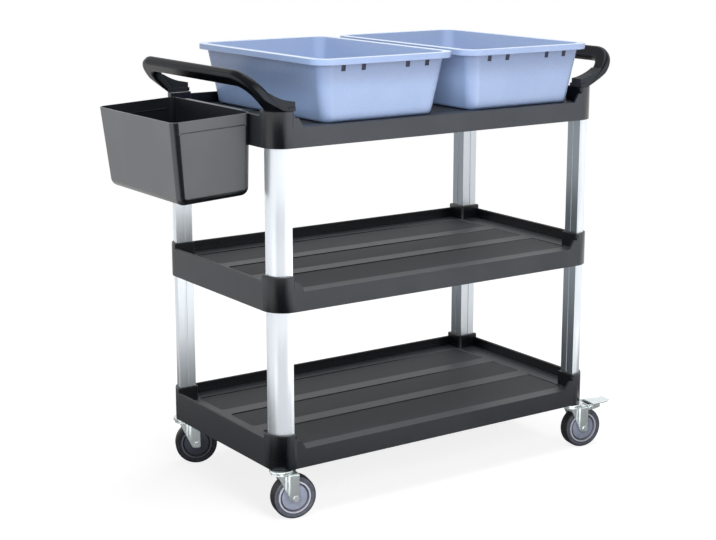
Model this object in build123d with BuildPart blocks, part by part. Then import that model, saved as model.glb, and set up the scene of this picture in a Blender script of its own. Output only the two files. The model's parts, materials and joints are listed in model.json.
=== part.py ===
import os
from math import cos, radians, sin, tan

from build123d import *

os.makedirs("parts", exist_ok=True)

# The cart stands on the floor at Z = 0, with its long side along X and its open front at -Y.

# Shelves
shelf_length = 905.0
shelf_width = 500.0
shelf_corner_radius = 51.0
shelf_pitch = 353.0
post_height = 78.0
post_size = 54.0
post_edge_radius = 5.0
post_front_radius = 8.0
rim_height = 67.5
rim_wall = 6.0
rim_edge_radius = 2.0
deck_height = 43.0
deck_thickness = 5.0
apron_wall = 5.0
gusset_height = 63.0
gusset_step_length = 9.0
gusset_slope_length = 12.0
socket_web = 4.0
socket_depth = 36.0
rib_thickness = 3.0
rib_depth = 10.0
rib_count_along = 3
rib_count_across = 5

# Shallow panels in the decks
panel_length = 790.0
panel_depth = 1.5
panel_slope_angle = 45.0
panel_corner_radius = 8.0
panel_front_border = 33.0
panel_back_border = 46.0
panel_middle_width = 106.0
panel_band = 38.0

# Uprights
upright_size = 42.5
upright_inset = 7.0
upright_radius = 37.0
upright_wall = 2.5
upright_groove_width = 4.5
upright_groove_depth = 1.2
socket_clearance = 0.3

# Handles
handle_rise_angle = 47.0
handle_grip_overhang = 49.0
handle_bend_radius = 50.0
handle_section_width = 36.0
handle_section_height = 23.0
handle_section_radius = 9.0
handle_foot_length = 56.0
handle_foot_width = 40.0
handle_foot_height = 8.0
handle_heel_height = 19.0
handle_instep_sag = 4.0
handle_spigot_length = 30.0
handle_flare_angle = 52.0

# Casters
wheel_diameter = 100.0
tyre_width = 30.0
tyre_thickness = 13.0
tyre_shoulder_radius = 6.0
tyre_side_inset = 1.5
hub_ring_width = 3.5
hub_groove_width = 4.0
hub_groove_depth = 6.0
hub_face_recess = 2.5
hub_boss_radius = 12.0
caster_trail = 26.0
rest_angle_front_left = -14.0
rest_angle_back_left = -24.0
rest_angle_right = -10.0
wheel_top_gap = 4.0
fork_gauge = 3.0
fork_inner_width = 36.0
fork_front_reach = 15.0
fork_rear_margin = 9.0
fork_front_margin = 10.0
fork_drop = 8.0
fork_corner_radius = 4.0
fork_rib_width = 5.0
fork_rib_height = 1.2
fork_web_depth = 13.0
bearing_radius = 24.0
bearing_height = 4.7
swivel_gap = 0.3
race_radius = 27.0
race_thickness = 3.0
race_skirt_depth = 2.0
race_skirt_wall = 1.5
kingpin_radius = 6.0
kingpin_head_radius = 9.0
kingpin_head_height = 2.8
stem_radius = 6.0
stem_length = 26.0
socket_flange = 3.0
socket_flange_inset = 3.0
socket_plug_length = 32.0
running_clearance = 0.05
swivel_clearance = 0.08
side_gap = 0.3
axle_radius = 4.0
sleeve_wall = 2.0
bolt_clearance = 0.1
hex_width = 13.0
hex_height = 5.3
bolt_tail = 2.0

# Brakes on the casters at the right end
brake_throw_angle = 12.0
brake_pin_reach = 16.0
brake_pin_height = 103.0
brake_pin_radius = 2.5
brake_ear_radius = 6.5
pedal_gauge = 2.0
pedal_length = 56.0
pedal_web_top = 111.0
pedal_flange_depth = 11.0
pedal_end_width = 34.0
pedal_end_rise = 3.5
pedal_end_length = 9.0
shoe_start = 6.0
shoe_length = 10.0
shoe_width = 26.0

# Bus tubs, side by side between the handles
tub_left_margin = 102.5
tub_right_margin = 39.0
tub_gap = 27.5
tub_length = 545.0
tub_height = 139.0
tub_taper_angle = 9.0
tub_wall = 3.0
tub_lip = 16.0
tub_lip_corner_radius = 45.0
tub_base_corner_radius = 24.0
tub_skirt_depth = 13.0
tub_skirt_wall = 3.0
tub_bottom_radius = 9.0
tub_edge_radius = 1.2
tub_middle_y = 4.0
tub_slot_width = 10.5
tub_slot_height = 13.0
tub_slot_drop = 2.0
tub_slot_places = (-110.0, -58.0, 58.0, 110.0)

# Hook-on bin
bin_length = 352.0
bin_middle_y = 8.0
bin_depth = 190.0
bin_height = 178.0
bin_taper_angle = 3.0
bin_wall = 3.5
bin_corner_radius = 16.0
bin_bottom_radius = 14.0
bin_edge_radius = 1.2
bin_groove_drop = 24.0
bin_groove_size = 2.2
hook_length = 250.0
hook_drop = 15.0
hook_thickness = 3.0
hook_clearance = 0.3

# Heights that follow from the stack of pieces
axle_height = wheel_diameter / 2
fork_bottom = wheel_diameter + wheel_top_gap
fork_top = fork_bottom + fork_gauge
bearing_top = fork_top + bearing_height
race_bottom = bearing_top + swivel_gap
race_top = race_bottom + race_thickness
shelf_bottoms = {
    "bottom_shelf": race_top + socket_flange,
    "middle_shelf": race_top + socket_flange + shelf_pitch,
    "top_shelf": race_top + socket_flange + 2 * shelf_pitch,
}
web_top = socket_depth + socket_web
top_deck = shelf_bottoms["top_shelf"] + deck_height
top_rim = shelf_bottoms["top_shelf"] + rim_height
top_post = shelf_bottoms["top_shelf"] + post_height

# Tubs share the length that their margins and gap leave
tub_width = (shelf_length - tub_left_margin - tub_gap - tub_right_margin) / 2
tub_middle_x = {
    "tub_left": -shelf_length / 2 + tub_left_margin + tub_width / 2,
    "tub_right": shelf_length / 2 - tub_right_margin - tub_width / 2,
}

# Corners as signs of X and Y
corners = {"front_left": (-1, -1), "back_left": (-1, 1), "front_right": (1, -1), "back_right": (1, 1)}
braked_corners = ("front_right", "back_right")
rest_angles = {
    "front_left": rest_angle_front_left,
    "back_left": rest_angle_back_left,
    "front_right": rest_angle_right,
    "back_right": rest_angle_right,
}


def corner_point(corner, from_end, from_side):
    sign_x, sign_y = corners[corner]
    return (sign_x * (shelf_length / 2 - from_end), sign_y * (shelf_width / 2 - from_side))


# A square in a corner of the cart with its outer corner rounded, in the sketch that is open
def corner_profile(corner, inset, size, radius, mode=Mode.ADD):
    arc_middle = inset + radius * (1 - cos(radians(45)))
    with BuildLine() as outline:
        Polyline(
            corner_point(corner, inset + radius, inset),
            corner_point(corner, inset + size, inset),
            corner_point(corner, inset + size, inset + size),
            corner_point(corner, inset, inset + size),
            corner_point(corner, inset, inset + radius),
        )
        ThreePointArc(
            corner_point(corner, inset, inset + radius),
            corner_point(corner, arc_middle, arc_middle),
            corner_point(corner, inset + radius, inset),
        )
    make_face(outline.edges(), mode=mode)


def socket_profile(corner):
    corner_profile(
        corner,
        upright_inset - socket_clearance,
        upright_size + 2 * socket_clearance,
        upright_radius + socket_clearance,
    )


def upright_profile(corner):
    corner_profile(corner, upright_inset, upright_size, upright_radius)


def save(piece, name):
    piece.part.label = name
    export_step(piece.part, f"parts/{name}.step")


# Moulded shelf: apron, deck, rims at the back and ends, gusseted open front, corner posts and ribs
def make_shelf(name):
    bottom = shelf_bottoms[name]
    deck_underside = deck_height - deck_thickness
    inner_length = shelf_length - 2 * apron_wall
    inner_width = shelf_width - 2 * apron_wall
    opening_top = shelf_length / 2 - post_size
    opening_step = opening_top - gusset_step_length
    opening_foot = opening_step - gusset_slope_length
    panel_rows = (
        (-shelf_width / 2 + panel_front_border, -panel_middle_width / 2 - panel_band),
        (-panel_middle_width / 2, panel_middle_width / 2),
        (panel_middle_width / 2 + panel_band, shelf_width / 2 - panel_back_border),
    )
    with BuildPart() as shelf:
        # Outer block and the tray inside its rims
        with BuildSketch(Plane.XY.offset(bottom)):
            RectangleRounded(shelf_length, shelf_width, shelf_corner_radius)
        extrude(amount=rim_height)
        with BuildSketch(Plane.XY.offset(bottom + deck_height)):
            RectangleRounded(
                shelf_length - 2 * rim_wall,
                shelf_width - 2 * rim_wall,
                shelf_corner_radius - rim_wall,
            )
        extrude(amount=rim_height - deck_height, mode=Mode.SUBTRACT)
        # Open front, which leaves a stepped gusset beside each post
        with BuildSketch(Plane.XZ.offset(shelf_width / 2)):
            with BuildLine():
                Polyline(
                    (-opening_foot, bottom + deck_height),
                    (opening_foot, bottom + deck_height),
                    (opening_step, bottom + gusset_height),
                    (opening_top, bottom + gusset_height),
                    (opening_top, bottom + post_height),
                    (-opening_top, bottom + post_height),
                    (-opening_top, bottom + gusset_height),
                    (-opening_step, bottom + gusset_height),
                    close=True,
                )
            make_face()
        extrude(amount=-rim_wall, mode=Mode.SUBTRACT)
        # Corner posts with rounded inner edges, and wider rounds beside the open front
        with BuildSketch(Plane.XY.offset(bottom)) as post_plan:
            with GridLocations(shelf_length - post_size, shelf_width - post_size, 2, 2):
                Rectangle(post_size, post_size)
            corner_rows = post_plan.vertices().filter_by(
                lambda vertex: abs(vertex.X) < shelf_length / 2 - post_size / 2
            ).group_by(Axis.Y)
            fillet(corner_rows[0], post_front_radius)
            fillet(corner_rows[1] + corner_rows[2], post_edge_radius)
            RectangleRounded(shelf_length, shelf_width, shelf_corner_radius, mode=Mode.INTERSECT)
        extrude(amount=post_height)
        # Hollow underside
        with BuildSketch(Plane.XY.offset(bottom)):
            RectangleRounded(inner_length, inner_width, shelf_corner_radius - apron_wall)
            with GridLocations(shelf_length - post_size, shelf_width - post_size, 2, 2):
                Rectangle(post_size, post_size, mode=Mode.SUBTRACT)
        extrude(amount=deck_underside, mode=Mode.SUBTRACT)
        # Ribs under the deck
        with BuildSketch(Plane.XY.offset(bottom + deck_underside - rib_depth)):
            with GridLocations(0, shelf_width / (rib_count_along + 1), 1, rib_count_along):
                Rectangle(inner_length, rib_thickness)
            with GridLocations(shelf_length / (rib_count_across + 1), 0, rib_count_across, 1):
                Rectangle(rib_thickness, inner_width)
        extrude(amount=rib_depth)
        # Shallow panels in the deck
        with BuildSketch(Plane.XY.offset(bottom + deck_height)):
            for row_front, row_back in panel_rows:
                with Locations((0, (row_front + row_back) / 2)):
                    RectangleRounded(panel_length, row_back - row_front, panel_corner_radius)
        extrude(amount=-panel_depth, taper=panel_slope_angle, mode=Mode.SUBTRACT)
        # Rounded edges of the posts and rims
        fillet(shelf.faces().filter_by(Plane.XY).group_by(Axis.Z)[-1].edges(), rim_edge_radius)
        rim_edges = shelf.edges().filter_by_position(
            Axis.Z, bottom + rim_height - rim_edge_radius / 4, bottom + rim_height + rim_edge_radius / 4
        )
        fillet(rim_edges.filter_by(lambda edge: edge.length > 2 * post_size), rim_edge_radius)
        # Sockets for the uprights above and below each post's web
        with BuildSketch(Plane.XY.offset(bottom)):
            for corner in corners:
                socket_profile(corner)
        extrude(amount=socket_depth, mode=Mode.SUBTRACT)
        with BuildSketch(Plane.XY.offset(bottom + web_top)):
            for corner in corners:
                socket_profile(corner)
        extrude(amount=post_height - web_top, mode=Mode.SUBTRACT)
    save(shelf, name)


# Hollow aluminium upright with a groove down each inner face
def make_upright(name, corner, lower_shelf):
    start = shelf_bottoms[lower_shelf] + web_top
    face = upright_inset + upright_size
    middle = upright_inset + upright_size / 2
    with BuildPart() as upright:
        with BuildSketch(Plane.XY.offset(start)):
            upright_profile(corner)
            corner_profile(
                corner,
                upright_inset + upright_wall,
                upright_size - 2 * upright_wall,
                upright_radius - upright_wall,
                mode=Mode.SUBTRACT,
            )
            with Locations(corner_point(corner, face, middle)):
                Rectangle(2 * upright_groove_depth, upright_groove_width, mode=Mode.SUBTRACT)
            with Locations(corner_point(corner, middle, face)):
                Rectangle(upright_groove_width, 2 * upright_groove_depth, mode=Mode.SUBTRACT)
        extrude(amount=shelf_pitch - socket_web)
    save(upright, name)


# Loop handle: a bar bent in one sloping plane, a foot at each end and a spigot in each socket
def make_handle(name, end_sign):
    rise = radians(handle_rise_angle)
    leg_middle = shelf_width / 2 - handle_section_width / 2
    # The leg's underside leaves the foot at the shelf's end face
    leg_start_x = shelf_length / 2 - handle_section_height / 2 * sin(rise)
    leg_start_z = top_post + handle_section_height / 2 * cos(rise)
    leg_length = (shelf_length / 2 + handle_grip_overhang - leg_start_x) / cos(rise)
    leg_run_in = handle_section_height / 2
    bar_plane = Plane(
        origin=(end_sign * leg_start_x, 0, leg_start_z),
        x_dir=(end_sign * cos(rise), 0, sin(rise)),
        z_dir=(-end_sign * sin(rise), 0, cos(rise)),
    )
    # The instep runs from the heel up to the end of the leg's straight part
    straight_run = leg_length - handle_bend_radius
    ankle_x = leg_start_x + straight_run * cos(rise)
    ankle_z = leg_start_z + straight_run * sin(rise)
    instep_x = ankle_x - handle_section_height / 2 * sin(rise)
    instep_z = ankle_z + handle_section_height / 2 * cos(rise)
    heel_x = shelf_length / 2 - handle_foot_length
    heel_z = top_post + handle_heel_height
    sag_x = (heel_x + instep_x) / 2
    sag_z = (heel_z + instep_z) / 2 - handle_instep_sag
    end_name = "left" if end_sign < 0 else "right"
    foot_corners = [f"front_{end_name}", f"back_{end_name}"]
    with BuildPart() as handle:
        with BuildLine(bar_plane) as bar_path:
            FilletPolyline(
                (-leg_run_in, -leg_middle),
                (leg_length, -leg_middle),
                (leg_length, leg_middle),
                (-leg_run_in, leg_middle),
                radius=handle_bend_radius,
            )
        with BuildSketch(Plane(origin=bar_path.line @ 0, x_dir=bar_plane.y_dir, z_dir=bar_path.line % 0)):
            RectangleRounded(handle_section_width, handle_section_height, handle_section_radius)
        sweep()
        # Curved instep from the heel of each foot up to the leg
        for side in (-1, 1):
            with BuildSketch(Plane.XZ.offset(-side * leg_middle)):
                with BuildLine():
                    Polyline(
                        (end_sign * instep_x, instep_z),
                        (end_sign * ankle_x, ankle_z),
                        (end_sign * shelf_length / 2, top_post),
                        (end_sign * heel_x, top_post),
                        (end_sign * heel_x, heel_z),
                    )
                    ThreePointArc(
                        (end_sign * heel_x, heel_z),
                        (end_sign * sag_x, sag_z),
                        (end_sign * instep_x, instep_z),
                    )
                make_face()
            extrude(amount=handle_section_width / 2 - rim_edge_radius, both=True)
        # Base of each foot, with the post's outer corner
        with BuildSketch(Plane.XY.offset(top_post)):
            with GridLocations(0, shelf_width - handle_foot_width, 1, 2):
                with Locations((end_sign * (shelf_length - handle_foot_length) / 2, 0)):
                    Rectangle(handle_foot_length, handle_foot_width)
            RectangleRounded(shelf_length, shelf_width, shelf_corner_radius, mode=Mode.INTERSECT)
        extrude(amount=handle_foot_height)
        # Flat seat on the posts, and undersides that flare out from the posts' rounded corners
        with BuildSketch(Plane.XY.offset(top_post)):
            RectangleRounded(shelf_length, shelf_width, shelf_corner_radius)
        extrude(amount=2 * leg_length, taper=-handle_flare_angle, mode=Mode.INTERSECT)
        # Spigots in the posts' sockets
        with BuildSketch(Plane.XY.offset(top_post)):
            for corner in foot_corners:
                upright_profile(corner)
        extrude(amount=-handle_spigot_length)
    save(handle, name)


# Level plane of one caster: its x runs along the trail from the swivel axis
def level_plane(corner):
    angle = radians(rest_angles[corner])
    swivel_inset = upright_inset + upright_size / 2
    swivel_x, swivel_y = corner_point(corner, swivel_inset, swivel_inset)
    return Plane(origin=(swivel_x, swivel_y, 0), x_dir=(cos(angle), sin(angle), 0), z_dir=(0, 0, 1))


# Upright plane through the swivel axis, with x along the trail and y up
def side_plane(corner):
    level = level_plane(corner)
    return Plane(origin=level.origin, x_dir=level.x_dir, z_dir=-level.y_dir)


# Upright plane through the axle, with x along the axle and y up
def axle_plane(corner):
    level = level_plane(corner)
    axle_middle = level.from_local_coords((caster_trail, 0, axle_height))
    return Plane(origin=axle_middle, x_dir=level.y_dir, z_dir=level.x_dir)


# Plug in the bottom shelf's lower socket, with a flange that the caster's race plate bears on
def make_caster_socket(name, corner):
    shelf_bottom = shelf_bottoms["bottom_shelf"]
    flat = level_plane(corner)
    with BuildPart() as socket:
        with BuildSketch(Plane.XY.offset(shelf_bottom)):
            corner_profile(
                corner,
                socket_flange_inset,
                post_size - 2 * socket_flange_inset,
                shelf_corner_radius - 2 * socket_flange_inset,
            )
        extrude(amount=-socket_flange)
        with BuildSketch(Plane.XY.offset(shelf_bottom)):
            upright_profile(corner)
        extrude(amount=socket_plug_length)
        with BuildSketch(flat.offset(race_top)):
            Circle(stem_radius + running_clearance)
        extrude(amount=socket_flange + stem_length, mode=Mode.SUBTRACT)
    save(socket, name)


# Stem, race plate with a turned-down skirt, and kingpin with its head, in one turned profile
def make_caster_stem(name, corner):
    flat = level_plane(corner)
    side = side_plane(corner)
    skirt_bottom = race_bottom - race_skirt_depth
    head_top = fork_bottom - swivel_gap
    with BuildPart() as stem:
        with BuildSketch(side):
            with BuildLine():
                Polyline(
                    (0, head_top - kingpin_head_height),
                    (kingpin_head_radius, head_top - kingpin_head_height),
                    (kingpin_head_radius, head_top),
                    (kingpin_radius, head_top),
                    (kingpin_radius, race_bottom),
                    (race_radius - race_skirt_wall, race_bottom),
                    (race_radius - race_skirt_wall, skirt_bottom),
                    (race_radius, skirt_bottom),
                    (race_radius, race_top),
                    (stem_radius, race_top),
                    (stem_radius, race_top + stem_length),
                    (0, race_top + stem_length),
                    close=True,
                )
            make_face()
        revolve(axis=Axis(flat.origin, (0, 0, 1)))
    save(stem, name)


def make_swivel_bearing(name, corner):
    flat = level_plane(corner)
    bearing_bore = kingpin_head_radius
    with BuildPart() as bearing:
        with BuildSketch(flat.offset(fork_top)):
            Circle(bearing_radius)
            Circle(bearing_bore, mode=Mode.SUBTRACT)
        extrude(amount=bearing_height)
        fillet(bearing.edges().group_by(Axis.Z)[-1].sort_by(SortBy.LENGTH)[-1], bearing_height / 3)
    save(bearing, name)


# Pressed fork: two cheeks that lean to the axle, a top plate, a front web and a pressed rib on each cheek
def make_fork(name, corner):
    flat = level_plane(corner)
    side = side_plane(corner)
    outer_half = fork_inner_width / 2 + fork_gauge
    rear = caster_trail + fork_rear_margin
    front_foot = caster_trail - fork_front_margin
    foot = axle_height - fork_drop
    front_slope = (front_foot + fork_front_reach) / (fork_top - foot)
    web_foot = fork_top - fork_web_depth
    web_foot_front = -fork_front_reach + fork_web_depth * front_slope
    rib_middle = (front_foot + rear) / 2 - fork_front_margin - fork_rib_width
    rib_length = fork_bottom - axle_height - 2 * fork_front_margin
    ear_reach = caster_trail + brake_pin_reach
    with BuildPart() as fork:
        # Outer form of the cheeks
        with BuildSketch(side):
            with BuildLine():
                Polyline(
                    (-fork_front_reach, fork_top),
                    (rear, fork_top),
                    (rear, foot),
                    (front_foot, foot),
                    close=True,
                )
            cheek_face = make_face()
            fillet(cheek_face.vertices().group_by(Axis.Z)[0], fork_corner_radius)
            if corner in braked_corners:
                with Locations((ear_reach, brake_pin_height)):
                    Circle(brake_ear_radius)
                with Locations(((rear + ear_reach) / 2, brake_pin_height)):
                    Rectangle(ear_reach - rear, 2 * brake_ear_radius)
        extrude(amount=outer_half, both=True)
        # Room for the wheel between the cheeks, open below and behind
        with BuildSketch(side):
            with BuildLine():
                Polyline(
                    (-fork_front_reach + fork_gauge, fork_bottom),
                    (ear_reach + 2 * brake_ear_radius, fork_bottom),
                    (ear_reach + 2 * brake_ear_radius, foot - fork_drop),
                    (web_foot_front - 2 * race_radius, foot - fork_drop),
                    (web_foot_front - 2 * race_radius, web_foot),
                    (web_foot_front + fork_gauge, web_foot),
                    close=True,
                )
            make_face()
        extrude(amount=fork_inner_width / 2, both=True, mode=Mode.SUBTRACT)
        if corner in braked_corners:
            # The top plate stops short of the ears, and the brake pin passes through them
            with BuildSketch(side):
                with Locations((rear + brake_pin_reach, brake_pin_height)):
                    Rectangle(2 * brake_pin_reach, 4 * brake_ear_radius)
            extrude(amount=fork_inner_width / 2, both=True, mode=Mode.SUBTRACT)
            with BuildSketch(side):
                with Locations((ear_reach, brake_pin_height)):
                    Circle(brake_pin_radius + running_clearance)
            extrude(amount=outer_half, both=True, mode=Mode.SUBTRACT)
        # Round seat for the bearing
        with BuildSketch(flat.offset(fork_bottom)):
            Circle(bearing_radius)
        extrude(amount=fork_gauge)
        # Pressed ribs on the outside of the cheeks
        for side_sign in (-1, 1):
            with BuildSketch(side.offset(side_sign * outer_half)):
                with Locations((rib_middle, (fork_bottom + axle_height) / 2)):
                    SlotOverall(rib_length, fork_rib_width, rotation=90)
            extrude(amount=side_sign * fork_rib_height)
        with BuildSketch(flat.offset(fork_bottom)):
            Circle(kingpin_radius + swivel_clearance)
        extrude(amount=fork_gauge, mode=Mode.SUBTRACT)
        with BuildSketch(side):
            with Locations((caster_trail, axle_height)):
                Circle(axle_radius + bolt_clearance)
        extrude(amount=outer_half, both=True, mode=Mode.SUBTRACT)
    save(fork, name)


# Axle bolt with a hexagon head outside one cheek, and its nut outside the other
def make_axle_bolt(name, corner):
    side = side_plane(corner)
    cheek = fork_inner_width / 2 + fork_gauge
    with BuildPart() as bolt:
        with BuildSketch(side.offset(cheek)):
            with Locations((caster_trail, axle_height)):
                RegularPolygon(hex_width / 2, 6, major_radius=False)
        extrude(amount=hex_height)
        with BuildSketch(side.offset(cheek)):
            with Locations((caster_trail, axle_height)):
                Circle(axle_radius)
        extrude(amount=-2 * cheek - hex_height - bolt_tail)
    save(bolt, name)


def make_axle_nut(name, corner):
    side = side_plane(corner)
    cheek = fork_inner_width / 2 + fork_gauge
    with BuildPart() as nut:
        with BuildSketch(side.offset(-cheek)):
            with Locations((caster_trail, axle_height)):
                RegularPolygon(hex_width / 2, 6, major_radius=False)
                Circle(axle_radius + running_clearance, mode=Mode.SUBTRACT)
        extrude(amount=-hex_height)
    save(nut, name)


def make_axle_sleeve(name, corner):
    side = side_plane(corner)
    with BuildPart() as sleeve:
        with BuildSketch(side):
            with Locations((caster_trail, axle_height)):
                Circle(axle_radius + bolt_clearance + sleeve_wall)
                Circle(axle_radius + bolt_clearance, mode=Mode.SUBTRACT)
        extrude(amount=fork_inner_width / 2, both=True)
    save(sleeve, name)


# Hub in one turned profile: tyre seat, ring and groove on each side, dished face and long boss
def make_wheel_hub(name, corner):
    across = axle_plane(corner)
    seat_radius = wheel_diameter / 2 - tyre_thickness
    groove_outer = seat_radius - hub_ring_width
    groove_inner = groove_outer - hub_groove_width
    half = tyre_width / 2
    face = half - hub_face_recess
    groove = half - hub_groove_depth
    boss = fork_inner_width / 2 - side_gap
    bore = axle_radius + bolt_clearance + sleeve_wall + running_clearance
    with BuildPart() as hub:
        with BuildSketch(across):
            with BuildLine():
                right_side = Polyline(
                    (0, seat_radius),
                    (half, seat_radius),
                    (half, groove_outer),
                    (groove, groove_outer),
                    (groove, groove_inner),
                    (face, groove_inner),
                    (face, hub_boss_radius),
                    (boss, hub_boss_radius),
                    (boss, bore),
                    (0, bore),
                )
                mirror(right_side, about=Plane.YZ)
            make_face()
        revolve(axis=Axis(across.origin, across.x_dir))
    save(hub, name)


# Tyre with rounded shoulders and a step down to the hub's ring
def make_wheel_tyre(name, corner):
    across = axle_plane(corner)
    seat_radius = wheel_diameter / 2 - tyre_thickness
    half = tyre_width / 2
    step_radius = seat_radius + tyre_thickness / 3
    with BuildPart() as tyre:
        with BuildSketch(across):
            with BuildLine():
                right_side = Polyline(
                    (0, seat_radius),
                    (half - tyre_side_inset, seat_radius),
                    (half - tyre_side_inset, step_radius),
                    (half, step_radius + tyre_side_inset),
                    (half, wheel_diameter / 2 - tyre_shoulder_radius),
                )
                shoulder = RadiusArc(
                    (half, wheel_diameter / 2 - tyre_shoulder_radius),
                    (half - tyre_shoulder_radius, wheel_diameter / 2),
                    -tyre_shoulder_radius,
                )
                tread = Line((half - tyre_shoulder_radius, wheel_diameter / 2), (0, wheel_diameter / 2))
                mirror([right_side, shoulder, tread], about=Plane.YZ)
            make_face()
        revolve(axis=Axis(across.origin, across.x_dir))
    save(tyre, name)


# Brake pedal: a channel that straddles the fork's ears, with a foot plate turned up at its end
def make_brake_pedal(name, corner):
    flat = level_plane(corner)
    side = side_plane(corner)
    pin_reach = caster_trail + brake_pin_reach
    channel_inner = fork_inner_width / 2 + fork_gauge + side_gap
    channel_outer = channel_inner + pedal_gauge
    web_start = pin_reach + brake_ear_radius + side_gap
    tip = pin_reach + pedal_length
    web_bottom = pedal_web_top - pedal_gauge
    flange_foot = pedal_web_top - pedal_flange_depth
    flange_end = tip - pedal_end_length
    with BuildPart() as pedal:
        # Side view of the channel, tapering to the foot plate
        with BuildSketch(side):
            with BuildLine():
                Polyline(
                    (pin_reach - brake_ear_radius, pedal_web_top),
                    (flange_end, pedal_web_top),
                    (tip, pedal_web_top + pedal_end_rise),
                    (tip, pedal_web_top + pedal_end_rise - pedal_gauge),
                    (flange_end, web_bottom - pedal_gauge),
                    (web_start + shoe_length + shoe_start, flange_foot),
                    (pin_reach, brake_pin_height - brake_ear_radius),
                    (pin_reach - brake_ear_radius, brake_pin_height - brake_ear_radius / 2),
                    close=True,
                )
            make_face()
        extrude(amount=channel_outer, both=True)
        # Inside of the channel, open in front of the web for the fork's ears
        with BuildSketch(side):
            with BuildLine():
                Polyline(
                    (pin_reach - 2 * brake_ear_radius, pedal_web_top + pedal_end_rise),
                    (web_start, pedal_web_top + pedal_end_rise),
                    (web_start, web_bottom),
                    (flange_end, web_bottom),
                    (tip, web_bottom + pedal_end_rise),
                    (tip, flange_foot - brake_ear_radius),
                    (pin_reach - 2 * brake_ear_radius, flange_foot - brake_ear_radius),
                    close=True,
                )
            make_face()
        extrude(amount=channel_inner, both=True, mode=Mode.SUBTRACT)
        # Outline from above: the foot plate narrows behind the channel
        with BuildSketch(flat.offset(flange_foot - brake_ear_radius)):
            with BuildLine():
                Polyline(
                    (pin_reach - brake_ear_radius, -channel_outer),
                    (flange_end - pedal_end_width, -channel_outer),
                    (tip, -pedal_end_width / 2),
                    (tip, pedal_end_width / 2),
                    (flange_end - pedal_end_width, channel_outer),
                    (pin_reach - brake_ear_radius, channel_outer),
                    close=True,
                )
            make_face()
        extrude(amount=pedal_flange_depth + 4 * brake_ear_radius, mode=Mode.INTERSECT)
        with BuildSketch(side):
            with Locations((pin_reach, brake_pin_height)):
                Circle(brake_pin_radius + running_clearance)
        extrude(amount=channel_outer, both=True, mode=Mode.SUBTRACT)
    save(pedal, name)


# Pin through the fork's ears and the pedal's flanges
def make_brake_pin(name, corner):
    side = side_plane(corner)
    channel_outer = fork_inner_width / 2 + fork_gauge + side_gap + pedal_gauge
    head_height = pedal_gauge
    with BuildPart() as pin:
        with BuildSketch(side):
            with Locations((caster_trail + brake_pin_reach, brake_pin_height)):
                Circle(brake_pin_radius)
        extrude(amount=channel_outer + side_gap + head_height, both=True)
        for side_sign in (-1, 1):
            with BuildSketch(side.offset(side_sign * (channel_outer + side_gap))):
                with Locations((caster_trail + brake_pin_reach, brake_pin_height)):
                    Circle(2 * brake_pin_radius)
            extrude(amount=side_sign * head_height)
    save(pin, name)


# Brake shoe under the pedal's web: its face meets the tyre's curve when the pedal is down
def make_brake_shoe(name, corner):
    side = side_plane(corner)
    pin_reach = caster_trail + brake_pin_reach
    arm_x = -brake_pin_reach
    arm_z = axle_height - brake_pin_height
    throw = radians(brake_throw_angle)
    curve_x = pin_reach + arm_x * cos(throw) - arm_z * sin(throw)
    curve_z = brake_pin_height + arm_x * sin(throw) + arm_z * cos(throw)
    shoe_middle = pin_reach + brake_ear_radius + side_gap + shoe_start + shoe_length / 2 - brake_ear_radius
    web_bottom = pedal_web_top - pedal_gauge
    with BuildPart() as shoe:
        with BuildSketch(side):
            with Locations((shoe_middle, (web_bottom + axle_height) / 2)):
                Rectangle(shoe_length, web_bottom - axle_height)
            with Locations((curve_x, curve_z)):
                Circle(wheel_diameter / 2 + side_gap, mode=Mode.SUBTRACT)
        extrude(amount=shoe_width / 2, both=True)
    save(shoe, name)


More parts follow.
